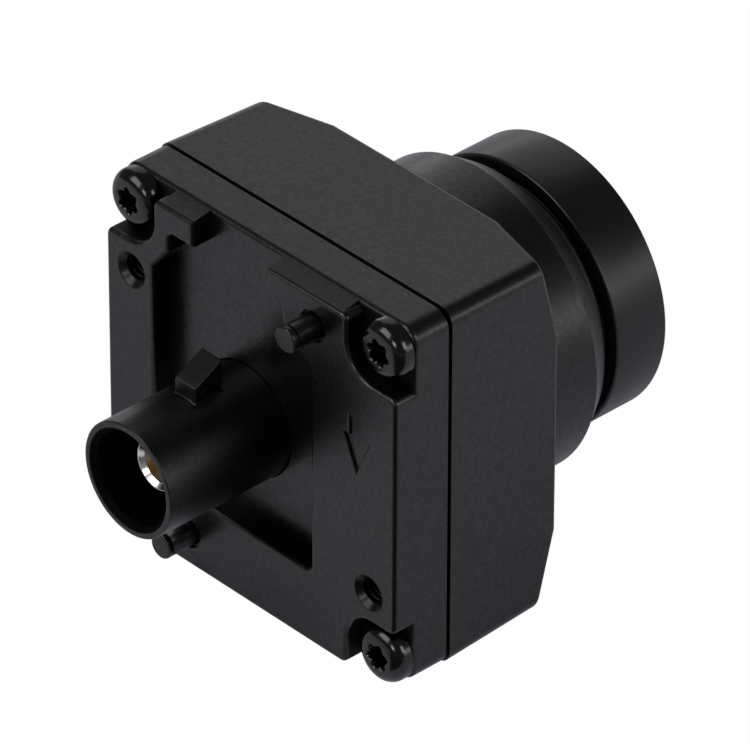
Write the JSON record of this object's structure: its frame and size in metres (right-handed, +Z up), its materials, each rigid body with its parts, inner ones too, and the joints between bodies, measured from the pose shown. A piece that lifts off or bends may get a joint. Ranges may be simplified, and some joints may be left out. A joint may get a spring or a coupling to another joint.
{
  "type": "camera module",
  "caption": "Square black camera module: lens in a round holder in front, and on its stepped rear cover a round latching coaxial connector, locating posts and tapped mounting holes.",
  "frame": {"origin": "middle of the two-hole mounting pattern on the rear face, on the lens axis", "axes": "+Y out of the lens, +Z up, +X to the right seen from behind"},
  "size_m": [0.0302, 0.0399, 0.0302],
  "materials": {
    "housing_black": "fine matt moulded texture",
    "cover_black": "fine matt moulded texture",
    "connector_black": "smooth satin",
    "screw_black": "black plated, semi-gloss",
    "ring_black": "black anodised, matt",
    "barrel_black": "black anodised, matt",
    "seal_rubber": "moulded rubber",
    "contact_metal": "bright plated",
    "pin_gold": "gold plated",
    "insulator_cream": "moulded",
    "board_green": "solder mask",
    "chip_black": "moulded package",
    "coil_grey": "pressed ferrite",
    "capacitor_tan": "ceramic",
    "plug_ivory": "moulded",
    "crystal_metal": "welded can",
    "screw_steel": "plain",
    "sensor_ceramic": "ceramic package",
    "sensor_silicon": "polished silicon",
    "lens_glass": "polished, coated",
    "filter_glass": "thin coated plate"
  },
  "bodies": {
    "root": {"front_housing": "housing_black", "rear_cover": "cover_black", "cover_seal": "seal_rubber", "cover_screws": "screw_black", "connector_shroud": "connector_black", "connector_seal": "seal_rubber", "outer_contact": "contact_metal", "contact_insulator": "insulator_cream", "centre_contact": "pin_gold", "serializer_board": "board_green", "serializer_chip": "chip_black", "voltage_regulator": "chip_black", "power_coil": "coil_grey", "chip_capacitors": "capacitor_tan", "board_plug": "plug_ivory", "board_socket": "plug_ivory", "sensor_board": "board_green", "clock_crystal": "crystal_metal", "board_screws": "screw_steel", "image_sensor": "sensor_ceramic", "sensor_die": "sensor_silicon", "sensor_glass": "filter_glass", "lens_barrel": "barrel_black", "lens_ring": "ring_black", "lens_seal": "seal_rubber", "infrared_filter": "filter_glass", "fifth_lens": "lens_glass", "fourth_lens": "lens_glass", "aperture_stop": "barrel_black", "third_lens": "lens_glass", "lens_retainer": "barrel_black", "rear_spacer": "barrel_black", "second_lens": "lens_glass", "front_spacer": "barrel_black", "front_lens": "lens_glass"}
  },
  "joints": []
}
